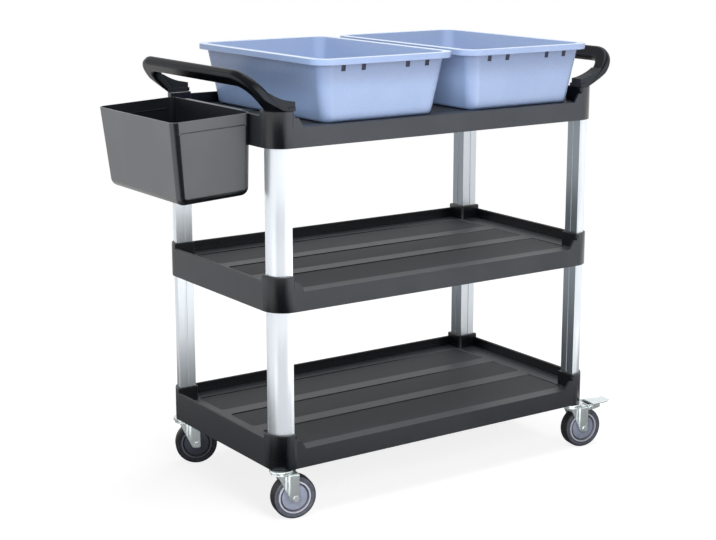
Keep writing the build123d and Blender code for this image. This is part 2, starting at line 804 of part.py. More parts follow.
# Tapered tub with a lip, a turned-down skirt and slots in its short ends
def make_tub(name):
    middle = (tub_middle_x[name], tub_middle_y)
    rim = top_deck + tub_height
    body_width = tub_width - 2 * tub_lip
    body_length = tub_length - 2 * tub_lip
    body_radius = tub_lip_corner_radius - tub_lip
    slope = tan(radians(tub_taper_angle))
    base_inset = tub_height * slope
    floor_inset = (tub_height - tub_wall) * slope + tub_wall
    slot_top = rim - tub_skirt_depth - tub_slot_drop
    with BuildPart() as tub_inside:
        with BuildSketch(Plane.XY.offset(rim)):
            with Locations(middle):
                RectangleRounded(body_width - 2 * tub_wall, body_length - 2 * tub_wall, body_radius - tub_wall)
        with BuildSketch(Plane.XY.offset(top_deck + tub_wall)):
            with Locations(middle):
                RectangleRounded(
                    body_width - 2 * floor_inset,
                    body_length - 2 * floor_inset,
                    tub_base_corner_radius - tub_wall,
                )
        loft(ruled=True)
        fillet(tub_inside.faces().sort_by(Axis.Z)[0].edges(), tub_bottom_radius - tub_wall)
    with BuildPart() as tub:
        with BuildSketch(Plane.XY.offset(rim)):
            with Locations(middle):
                RectangleRounded(body_width, body_length, body_radius)
        with BuildSketch(Plane.XY.offset(top_deck)):
            with Locations(middle):
                RectangleRounded(body_width - 2 * base_inset, body_length - 2 * base_inset, tub_base_corner_radius)
        loft(ruled=True)
        fillet(tub.faces().sort_by(Axis.Z)[0].edges(), tub_bottom_radius)
        # Lip and skirt
        with BuildSketch(Plane.XY.offset(rim)):
            with Locations(middle):
                RectangleRounded(tub_width, tub_length, tub_lip_corner_radius)
        extrude(amount=-tub_wall)
        with BuildSketch(Plane.XY.offset(rim)):
            with Locations(middle):
                RectangleRounded(tub_width, tub_length, tub_lip_corner_radius)
                RectangleRounded(
                    tub_width - 2 * tub_skirt_wall,
                    tub_length - 2 * tub_skirt_wall,
                    tub_lip_corner_radius - tub_skirt_wall,
                    mode=Mode.SUBTRACT,
                )
        extrude(amount=-tub_skirt_depth)
        add(tub_inside.part, mode=Mode.SUBTRACT)
        fillet(tub.faces().filter_by(Plane.XY).group_by(Axis.Z)[-1].edges(), tub_edge_radius)
        # Slots under the lip of the front end
        with BuildSketch(Plane.XZ.offset(-tub_middle_y)):
            for slot_place in tub_slot_places:
                with Locations((tub_middle_x[name] + slot_place, slot_top - tub_slot_height / 2)):
                    Rectangle(tub_slot_width, tub_slot_height)
        extrude(amount=body_length / 2, mode=Mode.SUBTRACT)
    save(tub, name)


# Tapered bin whose inner wall lies flat along the shelf's end, with a hook over the end rim
def make_bin(name):
    tilt = radians(bin_taper_angle)
    wall_face = -shelf_length / 2 - hook_clearance
    hook_top = top_rim + hook_clearance + hook_thickness
    hook_leg = -shelf_length / 2 + rim_wall + hook_clearance
    rim_plane = Plane(
        origin=(wall_face, bin_middle_y, hook_top),
        x_dir=(-cos(tilt), 0, -sin(tilt)),
        z_dir=(-sin(tilt), 0, cos(tilt)),
    )
    groove_inset = bin_groove_drop * tan(tilt)
    with BuildPart() as bin_inside:
        with BuildSketch(rim_plane):
            with Locations((bin_depth / 2, 0)):
                RectangleRounded(bin_depth - 2 * bin_wall, bin_length - 2 * bin_wall, bin_corner_radius - bin_wall)
        extrude(amount=-bin_height + bin_wall, taper=bin_taper_angle)
        fillet(bin_inside.faces().sort_by(Axis.Z)[0].edges(), bin_bottom_radius - bin_wall)
    with BuildPart() as waste_bin:
        with BuildSketch(rim_plane):
            with Locations((bin_depth / 2, 0)):
                RectangleRounded(bin_depth, bin_length, bin_corner_radius)
        extrude(amount=-bin_height, taper=bin_taper_angle)
        fillet(waste_bin.faces().sort_by(Axis.Z)[0].edges(), bin_bottom_radius)
        add(bin_inside.part, mode=Mode.SUBTRACT)
        fillet(waste_bin.faces().sort_by(Axis.Z)[-1].edges(), bin_edge_radius)
        # Fine groove below the rim on both short walls
        with BuildSketch(rim_plane.offset(-bin_groove_drop)):
            with GridLocations(0, bin_length - 2 * groove_inset, 1, 2):
                with Locations((bin_depth / 2, 0)):
                    Rectangle(bin_depth - 2 * bin_corner_radius, bin_groove_size)
        extrude(amount=bin_groove_size, mode=Mode.SUBTRACT)
        # Hook over the shelf's end rim
        with BuildSketch(Plane.XZ.offset(-bin_middle_y)):
            with BuildLine():
                Polyline(
                    (wall_face - bin_wall, top_rim + hook_clearance),
                    (hook_leg, top_rim + hook_clearance),
                    (hook_leg, top_rim - hook_drop),
                    (hook_leg + hook_thickness, top_rim - hook_drop),
                    (hook_leg + hook_thickness, hook_top),
                    (wall_face, hook_top),
                    close=True,
                )
            make_face()
        extrude(amount=hook_length / 2, both=True)
    save(waste_bin, name)


for shelf_name in shelf_bottoms:
    make_shelf(shelf_name)

for corner in corners:
    make_upright(f"upright_lower_{corner}", corner, "bottom_shelf")
    make_upright(f"upright_upper_{corner}", corner, "middle_shelf")

make_handle("handle_left", -1)
make_handle("handle_right", 1)

for corner in corners:
    make_caster_socket(f"caster_socket_{corner}", corner)
    make_caster_stem(f"caster_stem_{corner}", corner)
    make_swivel_bearing(f"swivel_bearing_{corner}", corner)
    make_fork(f"caster_fork_{corner}", corner)
    make_axle_bolt(f"axle_bolt_{corner}", corner)
    make_axle_nut(f"axle_nut_{corner}", corner)
    make_axle_sleeve(f"axle_sleeve_{corner}", corner)
    make_wheel_hub(f"wheel_hub_{corner}", corner)
    make_wheel_tyre(f"wheel_tyre_{corner}", corner)

for corner in braked_corners:
    make_brake_pedal(f"brake_pedal_{corner}", corner)
    make_brake_pin(f"brake_pin_{corner}", corner)
    make_brake_shoe(f"brake_shoe_{corner}", corner)

for tub_name in tub_middle_x:
    make_tub(tub_name)

make_bin("hook_on_bin")
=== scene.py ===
import json
import math

import bmesh
import bpy
from mathutils import Matrix, Vector


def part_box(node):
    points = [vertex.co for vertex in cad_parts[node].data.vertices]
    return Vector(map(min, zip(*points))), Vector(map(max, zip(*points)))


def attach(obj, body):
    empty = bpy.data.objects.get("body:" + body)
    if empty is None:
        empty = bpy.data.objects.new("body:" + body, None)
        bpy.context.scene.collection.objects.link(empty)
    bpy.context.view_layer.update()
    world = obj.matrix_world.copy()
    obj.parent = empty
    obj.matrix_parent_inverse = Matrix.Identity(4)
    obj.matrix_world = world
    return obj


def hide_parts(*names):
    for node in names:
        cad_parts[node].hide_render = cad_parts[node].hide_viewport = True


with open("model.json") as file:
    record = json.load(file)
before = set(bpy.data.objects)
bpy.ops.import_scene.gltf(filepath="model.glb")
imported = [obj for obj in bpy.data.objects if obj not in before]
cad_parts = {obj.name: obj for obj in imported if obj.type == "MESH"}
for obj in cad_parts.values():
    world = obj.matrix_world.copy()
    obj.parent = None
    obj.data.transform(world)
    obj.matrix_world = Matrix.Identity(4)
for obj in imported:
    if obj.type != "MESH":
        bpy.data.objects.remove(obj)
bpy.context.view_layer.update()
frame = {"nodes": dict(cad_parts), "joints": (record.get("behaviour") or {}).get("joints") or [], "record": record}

cartNodes = frame["nodes"]
cartCorners = ("front_left", "back_left", "front_right", "back_right")
shelfNames = ("bottom_shelf", "middle_shelf", "top_shelf")
tubNames = ("tub_left", "tub_right")
childJoints = {joint["child"]: joint for joint in frame["joints"]}
print("frame loaded:", len(cartNodes), "nodes")


# Node tree helpers

rising = (0.0, 1.0)
falling = (1.0, 0.0)


def newMaterial(name):
    material = bpy.data.materials.new(name)
    material.use_nodes = True
    tree = material.node_tree
    tree.nodes.clear()
    shader = tree.nodes.new("ShaderNodeBsdfPrincipled")
    output = tree.nodes.new("ShaderNodeOutputMaterial")
    tree.links.new(shader.outputs["BSDF"], output.inputs["Surface"])
    return material, tree, shader


def coordinate(tree, kind):
    return tree.nodes.new("ShaderNodeTexCoord").outputs[kind]


def axesOf(tree, vector):
    parts = tree.nodes.new("ShaderNodeSeparateXYZ")
    tree.links.new(vector, parts.inputs["Vector"])
    return parts.outputs


def operationNode(tree, kind, operation, values):
    node = tree.nodes.new(kind)
    node.operation = operation
    for socket, value in zip(node.inputs, values):
        if isinstance(value, bpy.types.NodeSocket):
            tree.links.new(value, socket)
        else:
            socket.default_value = value
    return node


def mathNode(tree, operation, first, second=0.0):
    return operationNode(tree, "ShaderNodeMath", operation, (first, second)).outputs["Value"]


def vectorNode(tree, operation, *values):
    node = operationNode(tree, "ShaderNodeVectorMath", operation, values)
    return node.outputs["Value" if operation in ("LENGTH", "DOT_PRODUCT") else "Vector"]


def objectPoint(tree, stretch=(1.0, 1.0, 1.0)):
    mapping = tree.nodes.new("ShaderNodeMapping")
    mapping.inputs["Scale"].default_value = stretch
    tree.links.new(coordinate(tree, "Object"), mapping.inputs["Vector"])
    return mapping.outputs["Vector"]


def noiseAt(tree, point, scale, detail, roughness=0.5):
    noise = tree.nodes.new("ShaderNodeTexNoise")
    noise.inputs["Scale"].default_value = scale
    noise.inputs["Detail"].default_value = detail
    noise.inputs["Roughness"].default_value = roughness
    tree.links.new(point, noise.inputs["Vector"])
    return noise.outputs["Fac"]


def mapped(tree, value, fromSpan, toSpan):
    ramp = tree.nodes.new("ShaderNodeMapRange")
    ramp.interpolation_type = "SMOOTHSTEP"
    ramp.inputs["From Min"].default_value = fromSpan[0]
    ramp.inputs["From Max"].default_value = fromSpan[1]
    ramp.inputs["To Min"].default_value = toSpan[0]
    ramp.inputs["To Max"].default_value = toSpan[1]
    tree.links.new(value, ramp.inputs["Value"])
    return ramp.outputs["Result"]


def mixColour(tree, factor, first, second):
    node = tree.nodes.new("ShaderNodeMix")
    node.data_type = "RGBA"
    tree.links.new(factor, node.inputs["Factor"])
    for name, value in (("A", first), ("B", second)):
        socket = [entry for entry in node.inputs if entry.name == name and entry.type == "RGBA"][0]
        if isinstance(value, tuple):
            socket.default_value = (*value, 1.0)
        else:
            tree.links.new(value, socket)
    return [entry for entry in node.outputs if entry.type == "RGBA"][0]


def bumpFrom(tree, shader, height, strength, distance):
    bump = tree.nodes.new("ShaderNodeBump")
    bump.inputs["Strength"].default_value = strength
    bump.inputs["Distance"].default_value = distance
    tree.links.new(height, bump.inputs["Height"])
    tree.links.new(bump.outputs["Normal"], shader.inputs["Normal"])


# Masks by the direction and the place of a face

faceLimits = {"blend": 0.002, "upright": 0.6, "level": 0.9}


# 0 on faces square to the axes, 1 on rounded corners and edges
def roundness(tree, flatLimit, roundLimit):
    facing = axesOf(tree, vectorNode(tree, "ABSOLUTE", coordinate(tree, "Normal")))
    largest = mathNode(tree, "MAXIMUM", facing["X"], facing["Y"])
    largest = mathNode(tree, "MAXIMUM", largest, facing["Z"])
    return mapped(tree, largest, (roundLimit, flatLimit), falling)


# 1 on walls that face away from a middle point, 0 on walls that face it
def facingOut(tree, middle):
    away = vectorNode(tree, "SUBTRACT", coordinate(tree, "Object"), middle)
    turned = vectorNode(tree, "DOT_PRODUCT", away, coordinate(tree, "Normal"))
    return mapped(tree, turned, (-faceLimits["blend"], faceLimits["blend"]), rising)


# 1 on upright walls that face a middle point
def innerWall(tree, middle):
    slope = mathNode(tree, "ABSOLUTE", axesOf(tree, coordinate(tree, "Normal"))["Z"])
    upright = mathNode(tree, "LESS_THAN", slope, faceLimits["upright"])
    inward = mathNode(tree, "SUBTRACT", 1.0, facingOut(tree, middle))
    return mathNode(tree, "MULTIPLY", upright, inward)


# 1 just under a lip, fading out down the wall, for a painted shade
def underLip(tree, lip, faded):
    height = axesOf(tree, coordinate(tree, "Object"))["Z"]
    below = mathNode(tree, "LESS_THAN", height, lip)
    return mathNode(tree, "MULTIPLY", below, mapped(tree, height, (faded, lip), rising))


# 1 on level faces between two heights, such as the panels sunk in a deck
def levelBetween(tree, low, high):
    height = axesOf(tree, coordinate(tree, "Object"))["Z"]
    slope = axesOf(tree, coordinate(tree, "Normal"))["Z"]
    above = mathNode(tree, "GREATER_THAN", height, low)
    below = mathNode(tree, "LESS_THAN", height, high)
    upward = mathNode(tree, "GREATER_THAN", slope, faceLimits["level"])
    return mathNode(tree, "MULTIPLY", mathNode(tree, "MULTIPLY", above, below), upward)


# Distance from an axle line
def axleDistance(tree, middle, axis):
    away = vectorNode(tree, "SUBTRACT", coordinate(tree, "Object"), middle)
    return vectorNode(tree, "LENGTH", vectorNode(tree, "CROSS_PRODUCT", away, axis))


# Moulded plastic: matte grain on the flat faces, polished round the corners; the near black of the corners is a
# painted dark reflection and the lighter grey of the flat faces partly a painted sheen
shelfPlastic = {"flat": (0.028, 0.033, 0.042), "worn": (0.036, 0.041, 0.051),
                "round": (0.004, 0.005, 0.008), "ior": 1.65,
                "grainScale": 1400.0, "grainDepth": 0.00006, "cloudScale": 9.0,
                "flatRoughness": (0.46, 0.56), "roundRoughness": 0.24,
                "flatLimit": 0.985, "roundLimit": 0.90}
handlePlastic = {"flat": (0.030, 0.034, 0.040), "worn": (0.036, 0.040, 0.046),
                 "round": (0.003, 0.004, 0.006), "ior": 1.18,
                 "grainScale": 1500.0, "grainDepth": 0.00003, "cloudScale": 14.0,
                 "flatRoughness": (0.30, 0.40), "roundRoughness": 0.26,
                 "flatLimit": 0.985, "roundLimit": 0.80}
# The bin is one black plastic: the lighter grey of its outer faces is a painted sheen, and the near black inside a
# painted shade
binPlastic = {"flat": (0.060, 0.065, 0.073), "worn": (0.074, 0.079, 0.087),
              "round": (0.004, 0.005, 0.008), "ior": 1.9,
              "grainScale": 1500.0, "grainDepth": 0.00005, "cloudScale": 7.0,
              "flatRoughness": (0.42, 0.52), "roundRoughness": 0.20,
              "flatLimit": 0.990, "roundLimit": 0.965}
binInsideShade = {"flat": (0.006, 0.007, 0.010), "worn": (0.009, 0.010, 0.014),
             "round": (0.004, 0.005, 0.008), "ior": 1.35,
             "grainScale": 1500.0, "grainDepth": 0.00005, "cloudScale": 7.0,
             "flatRoughness": (0.42, 0.52), "roundRoughness": 0.30,
             "flatLimit": 0.990, "roundLimit": 0.965}
mouldedNoise = {"cloudDetail": 4.0, "cloudSpan": (0.35, 0.7), "grainDetail": 2.0, "grainSpan": (0.3, 0.7),
                "bump": 0.5}
# A deck lies this far above its shelf's lowest edge, with panels sunk a little below its bands
deckLook = {"height": 0.043, "panelSpan": (-0.0022, -0.0008), "panelDullness": 0.15,
            "panelColour": (0.024, 0.027, 0.033), "bandSpan": (-0.0006, 0.0006), "bandShine": 0.04}


def mouldedPlastic(name, look, deckTop=None):
    material, tree, shader = newMaterial(name)
    place = objectPoint(tree)
    cloud = noiseAt(tree, place, look["cloudScale"], mouldedNoise["cloudDetail"])
    grain = noiseAt(tree, place, look["grainScale"], mouldedNoise["grainDetail"])
    rounded = roundness(tree, look["flatLimit"], look["roundLimit"])
    # The inner walls of a deck's rims take the corners' near black and polish, a painted shade
    if deckTop is not None:
        rounded = mathNode(tree, "MAXIMUM", rounded, innerWall(tree, (0.0, 0.0, deckTop)))
    wear = mapped(tree, cloud, mouldedNoise["cloudSpan"], rising)
    flatColour = mixColour(tree, wear, look["flat"], look["worn"])
    # Rounded corners take the near black round colour, a painted dark reflection
    colour = mixColour(tree, rounded, flatColour, look["round"])
    dull = mapped(tree, grain, mouldedNoise["grainSpan"], look["flatRoughness"])
    polish = mathNode(tree, "MULTIPLY", rounded, look["flatRoughness"][0] - look["roundRoughness"])
    sheen = mathNode(tree, "SUBTRACT", dull, polish)
    if deckTop is not None:
        panel = levelBetween(tree, *(deckTop + level for level in deckLook["panelSpan"]))
        band = levelBetween(tree, *(deckTop + level for level in deckLook["bandSpan"]))
        sheen = mathNode(tree, "ADD", sheen, mathNode(tree, "MULTIPLY", panel, deckLook["panelDullness"]))
        sheen = mathNode(tree, "SUBTRACT", sheen, mathNode(tree, "MULTIPLY", band, deckLook["bandShine"]))
        colour = mixColour(tree, panel, colour, deckLook["panelColour"])
    tree.links.new(colour, shader.inputs["Base Color"])
    tree.links.new(sheen, shader.inputs["Roughness"])
    shader.inputs["IOR"].default_value = look["ior"]
    bumpFrom(tree, shader, grain, mouldedNoise["bump"], look["grainDepth"])
    return material


# Extruded aluminium: fine die lines along Z
# Walls that face along the cart and towards its middle have the darker inner tone, a painted shade
extrudedAluminium = {"bright": (0.87, 0.92, 0.97), "dull": (0.85, 0.905, 0.96), "toneSpan": (0.35, 0.65),
                     "lineScale": 260.0, "lineStretch": (1.0, 1.0, 0.004), "lineDetail": 3.0,
                     "lineShare": 0.7, "lineSpan": (0.3, 0.7), "lineDepth": 0.000002, "bump": 0.4,
                     "cloudScale": 30.0, "cloudDetail": 4.0, "cloudShare": 0.3,
                     "roughness": (0.28, 0.31), "metallic": 0.65,
                     "inner": (0.29, 0.33, 0.37), "middle": (0.0, 0.0, 0.5), "alongLimit": 0.7}


def anodisedAluminium(name, look):
    material, tree, shader = newMaterial(name)
    lines = noiseAt(tree, objectPoint(tree, look["lineStretch"]), look["lineScale"], look["lineDetail"])
    cloud = noiseAt(tree, objectPoint(tree), look["cloudScale"], look["cloudDetail"])
    tone = mathNode(tree, "ADD", mathNode(tree, "MULTIPLY", lines, look["lineShare"]),
                    mathNode(tree, "MULTIPLY", cloud, look["cloudShare"]))
    outer = mixColour(tree, mapped(tree, tone, look["toneSpan"], rising), look["dull"], look["bright"])
    # Painted shade on the walls that face along the cart towards its middle
    lengthwise = mathNode(tree, "ABSOLUTE", axesOf(tree, coordinate(tree, "Normal"))["X"])
    alongCart = mathNode(tree, "GREATER_THAN", lengthwise, look["alongLimit"])
    inward = mathNode(tree, "SUBTRACT", 1.0, facingOut(tree, look["middle"]))
    colour = mixColour(tree, mathNode(tree, "MULTIPLY", inward, alongCart), outer, look["inner"])
    tree.links.new(colour, shader.inputs["Base Color"])
    tree.links.new(mapped(tree, lines, look["lineSpan"], look["roughness"]), shader.inputs["Roughness"])
    shader.inputs["Metallic"].default_value = look["metallic"]
    bumpFrom(tree, shader, lines, look["bump"], look["lineDepth"])
    return material


# Pressed steel with bright zinc plating, and the duller steel of the axle bolts
zincPlate = {"bright": (0.84, 0.91, 0.92), "dull": (0.80, 0.87, 0.88), "brushDepth": 0.00001,
             "dullRoughness": 0.21, "brightRoughness": 0.17, "metallic": 0.70}
boltSteel = {"bright": (0.62, 0.65, 0.67), "dull": (0.50, 0.53, 0.55), "brushDepth": 0.00002,
             "dullRoughness": 0.36, "brightRoughness": 0.26, "metallic": 0.45}
platedNoise = {"spangleScale": 220.0, "spangleDetail": 4.0, "spangleRoughness": 0.6,
               "colourSpan": (0.35, 0.65), "roughSpan": (0.3, 0.7),
               "brushScale": 700.0, "brushDetail": 2.0, "bump": 0.3}


def platedSteel(name, look):
    material, tree, shader = newMaterial(name)
    place = objectPoint(tree)
    spangle = noiseAt(tree, place, platedNoise["spangleScale"], platedNoise["spangleDetail"],
                      platedNoise["spangleRoughness"])
    brush = noiseAt(tree, place, platedNoise["brushScale"], platedNoise["brushDetail"])
    shine = mapped(tree, spangle, platedNoise["colourSpan"], rising)
    roughness = mapped(tree, spangle, platedNoise["roughSpan"],
                       (look["dullRoughness"], look["brightRoughness"]))
    tree.links.new(mixColour(tree, shine, look["dull"], look["bright"]), shader.inputs["Base Color"])
    tree.links.new(roughness, shader.inputs["Roughness"])
    shader.inputs["Metallic"].default_value = look["metallic"]
    bumpFrom(tree, shader, brush, platedNoise["bump"], look["brushDepth"])
    return material


# Clouded plastic and rubber: blue-grey tubs, a little waxy, slots filled with painted shade, grey hubs and dark
# tyres
# For the tubs, the shade colour is a painted shade under the lip, the rim colour a painted highlight, and the
# inner tone painted light and shade
tubPlastic = {"pale": (0.325, 0.402, 0.60), "deep": (0.302, 0.38, 0.575), "inner": (0.335, 0.408, 0.585),
              "lipDrop": 0.014, "shadeDrop": 0.080, "shade": (0.200, 0.250, 0.385),
              "rim": (0.58, 0.66, 0.80), "rimReach": 0.001,
              "cloudScale": 12.0, "grainScale": 900.0, "grainDepth": 0.00003, "roughness": (0.24, 0.34)}
slotShadeLook = {"pale": (0.020, 0.023, 0.050), "deep": (0.013, 0.015, 0.036),
            "cloudScale": 40.0, "grainScale": 900.0, "grainDepth": 0.00003, "roughness": (0.40, 0.55)}
hubPlastic = {"pale": (0.33, 0.36, 0.46), "deep": (0.27, 0.30, 0.39),
              "cloudScale": 60.0, "grainScale": 1500.0, "grainDepth": 0.00004, "roughness": (0.36, 0.48)}
tyreRubber = {"pale": (0.100, 0.108, 0.135), "deep": (0.070, 0.076, 0.098),
              "cloudScale": 80.0, "grainScale": 1100.0, "grainDepth": 0.00008, "roughness": (0.50, 0.64)}
cloudedNoise = {"cloudDetail": 4.0, "cloudSpan": (0.35, 0.65), "grainDetail": 2.0, "grainSpan": (0.3, 0.7),
                "bump": 0.4}
# Bands on a wheel by distance from its axle: on the hub a painted shade in the groove and a painted highlight on
# the ridge, on the tyre a painted shade round the tread
hubRings = [{"from": 0.0294, "to": 0.0336, "colour": (0.075, 0.075, 0.10)},
            {"from": 0.0336, "to": 0.0372, "colour": (0.56, 0.56, 0.64)}]
tyreRings = [{"from": 0.0466, "to": 0.0520, "colour": (0.012, 0.012, 0.015)}]
ringBlend = 0.0004


def cloudedPlastic(name, look, rings=(), joint=None, middle=None, rimTop=None):
    material, tree, shader = newMaterial(name)
    place = objectPoint(tree)
    cloud = noiseAt(tree, place, look["cloudScale"], cloudedNoise["cloudDetail"])
    grain = noiseAt(tree, place, look["grainScale"], cloudedNoise["grainDetail"])
    haze = mapped(tree, cloud, cloudedNoise["cloudSpan"], rising)
    colour = mixColour(tree, haze, look["deep"], look["pale"])
    for ring in rings:
        reach = axleDistance(tree, joint["pos_m"], joint["axis"])
        inside = mapped(tree, reach, (ring["from"] - ringBlend, ring["from"] + ringBlend), rising)
        outside = mapped(tree, reach, (ring["to"] - ringBlend, ring["to"] + ringBlend), falling)
        colour = mixColour(tree, mathNode(tree, "MULTIPLY", inside, outside), colour, ring["colour"])
    # Painted shade just under the lip, fading out down the wall
    if rimTop is not None:
        lip = rimTop - look["lipDrop"]
        colour = mixColour(tree, underLip(tree, lip, rimTop - look["shadeDrop"]), colour, look["shade"])
    # Inner walls take a tone of their own, a copy of the same plastic tuned to how the inside is lit: painted
    # light and shade
    if middle is not None:
        colour = mixColour(tree, facingOut(tree, middle), look["inner"], colour)
    # Painted highlight on the level top of the rim
    if rimTop is not None:
        colour = mixColour(tree, levelBetween(tree, lip, rimTop + look["rimReach"]), colour, look["rim"])
    roughness = mapped(tree, grain, cloudedNoise["grainSpan"], look["roughness"])
    tree.links.new(colour, shader.inputs["Base Color"])
    tree.links.new(roughness, shader.inputs["Roughness"])
    bumpFrom(tree, shader, grain, cloudedNoise["bump"], look["grainDepth"])
    return material


finishes = {
    "black_plastic": mouldedPlastic("mouldedHandlePlastic", handlePlastic),
    "bin_plastic": mouldedPlastic("mouldedBinPlastic", binPlastic),
    "aluminium": anodisedAluminium("anodisedAluminium", extrudedAluminium),
    "zinc_steel": platedSteel("zincPlatedSteel", zincPlate),
    "tyre_rubber": cloudedPlastic("brakeShoeRubber", tyreRubber),
}
nodeFinishes = {}
for shelfName in shelfNames:
    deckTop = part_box(shelfName)[0].z + deckLook["height"]
    nodeFinishes[shelfName] = mouldedPlastic(f"mouldedShelfPlastic_{shelfName}", shelfPlastic, deckTop)
# Inner walls of a tub are told from outer ones by the middle of its box
for tubName in tubNames:
    tubLow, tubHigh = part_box(tubName)
    nodeFinishes[tubName] = cloudedPlastic(f"blueGreyPlastic_{tubName}", tubPlastic,
                                           middle=(tubLow + tubHigh) / 2, rimTop=tubHigh.z)
boltFinish = platedSteel("dullBoltSteel", boltSteel)
for corner in cartCorners:
    nodeFinishes[f"axle_bolt_{corner}"] = boltFinish
    nodeFinishes[f"axle_nut_{corner}"] = boltFinish
    roll = childJoints[f"wheel_{corner}"]
    nodeFinishes[f"wheel_hub_{corner}"] = cloudedPlastic(f"greyHubPlastic_{corner}", hubPlastic,
                                                         hubRings, roll)
    nodeFinishes[f"wheel_tyre_{corner}"] = cloudedPlastic(f"darkTyreRubber_{corner}", tyreRubber,
                                                          tyreRings, roll)
print("finishes made:", len(finishes) + len(nodeFinishes))


# Every node gets its finish and softly rounded edges
edgeSoftness = {"black_plastic": 0.0018, "bin_plastic": 0.0010, "aluminium": 0.0006, "zinc_steel": 0.0005,
                "tub_plastic": 0.0014, "hub_plastic": 0.0005, "tyre_rubber": 0.0008}
softening = {"weld": 0.00001, "flattenAngle": 0.3, "segments": 2, "nodeAngle": 35.0, "pieceAngle": 60.0,
             "flatWeight": 100}


def bevelEdges(target, width, angle):
    soften = target.modifiers.new("soften", "BEVEL")
    soften.width = width
    soften.segments = softening["segments"]
    soften.limit_method = "ANGLE"
    soften.angle_limit = math.radians(angle)
    return soften


def softenNode(node, width):
    weld = node.modifiers.new("weld", "WELD")
    weld.merge_threshold = softening["weld"]
    flatten = node.modifiers.new("flatten", "DECIMATE")
    flatten.decimate_type = "DISSOLVE"
    flatten.angle_limit = math.radians(softening["flattenAngle"])
    soften = bevelEdges(node, width, softening["nodeAngle"])
    soften.harden_normals = True


for entry in frame["record"]["subparts"]:
    node = cartNodes[entry["node"]]
    slotName = entry["material_slot"]
    node.data.materials.clear()
    node.data.materials.append(nodeFinishes.get(node.name) or finishes[slotName])
    softenNode(node, edgeSoftness[slotName])
print("nodes dressed")


# Shaping helpers for the scene's own pieces

def cutLevel(shape, place, direction):
    bmesh.ops.bisect_plane(shape, geom=shape.verts[:] + shape.edges[:] + shape.faces[:],
                           plane_co=place, plane_no=direction)


def vertsIn(geometry):
    return [part for part in geometry if isinstance(part, bmesh.types.BMVert)]


def finishedPiece(name, shape, materials, softness):
    for side in shape.faces:
        side.smooth = True
    mesh = bpy.data.meshes.new(name)
    shape.to_mesh(mesh)
    shape.free()
    for material in materials:
        mesh.materials.append(material)
    piece = bpy.data.objects.new(name, mesh)
    bpy.context.scene.collection.objects.link(piece)
    bevelEdges(piece, softness, softening["pieceAngle"])
    flatten = piece.modifiers.new("flatten", "WEIGHTED_NORMAL")
    flatten.weight = softening["flatWeight"]
    flatten.keep_sharp = True
    return piece


# Waste bin: a tapered shell with well rounded edges and a fine groove, hooked over the top shelf's end rim
binShape = {"depth": 0.190, "length": 0.352, "height": 0.178, "middleY": 0.008, "taper": 3.0,
            "wall": 0.0035, "rounding": 0.018, "roundSteps": 8, "grooveDrop": 0.0225,
            "grooveWidth": 0.0034, "grooveDepth": 0.0013, "grooveSlope": 0.0012,
            "hookLength": 0.250, "hookThickness": 0.003, "hookGap": 0.0066, "hookDrop": 0.0183,
            "edgeSoftness": 0.0009}
# Limits that pick out the shell's points and faces
binPick = {"belowTop": 0.001, "upward": 0.9, "inGroove": 0.0001, "grooveEnd": 0.0006, "inward": 0.01}


def makeBinShell(look):
    depth, length, height, rounding = look["depth"], look["length"], look["height"], look["rounding"]
    shell = bmesh.new()
    bmesh.ops.create_cube(shell, size=1.0)
    bmesh.ops.scale(shell, vec=(depth, length, height), verts=shell.verts)
    bmesh.ops.translate(shell, vec=(depth / 2, 0.0, -height / 2), verts=shell.verts)
    inset = height * math.tan(math.radians(look["taper"]))
    bmesh.ops.scale(shell, vec=(1 - 2 * inset / depth, 1 - 2 * inset / length, 1.0),
                    space=Matrix.Translation((-depth / 2, 0.0, 0.0)),
                    verts=[vert for vert in shell.verts if vert.co.z < -binPick["belowTop"]])
    roundEdges = [edge for edge in shell.edges
                  if min(vert.co.z for vert in edge.verts) < -binPick["belowTop"]]
    bmesh.ops.bevel(shell, geom=roundEdges, offset=rounding, offset_type="OFFSET", affect="EDGES",
                    segments=look["roundSteps"], profile=0.5, material=-1)
    shell.normal_update()
    topFaces = [side for side in shell.faces if side.normal.z > binPick["upward"]]
    bmesh.ops.delete(shell, geom=topFaces, context="FACES_ONLY")

    # Groove across the two short walls, closed at its ends
    top = -look["grooveDrop"]
    bottom = top - look["grooveWidth"]
    for level in (top, top - look["grooveSlope"], bottom + look["grooveSlope"], bottom):
        cutLevel(shell, (0.0, 0.0, level), (0.0, 0.0, 1.0))
    for place in (rounding + look["grooveSlope"], depth - rounding - look["grooveSlope"]):
        cutLevel(shell, (place, 0.0, 0.0), (1.0, 0.0, 0.0))
    for vert in shell.verts:
        inHeight = bottom + binPick["inGroove"] < vert.co.z < top - binPick["inGroove"]
        inDepth = rounding + binPick["grooveEnd"] < vert.co.x < depth - rounding - binPick["grooveEnd"]
        if inHeight and inDepth:
            vert.co.y -= math.copysign(look["grooveDepth"], vert.co.y)
    bmesh.ops.solidify(shell, geom=shell.faces[:], thickness=look["wall"])
    bmesh.ops.recalc_face_normals(shell, faces=shell.faces[:])
    shell.normal_update()
    # Faces turned inward take the second material, the painted shade of the inside
    heart = Vector((depth / 2, 0.0, -height / 2))
    for side in shell.faces:
        outward = side.normal.dot(side.calc_center_median() - heart)
        side.material_index = 1 if outward < -binPick["inward"] else 0
    return shell


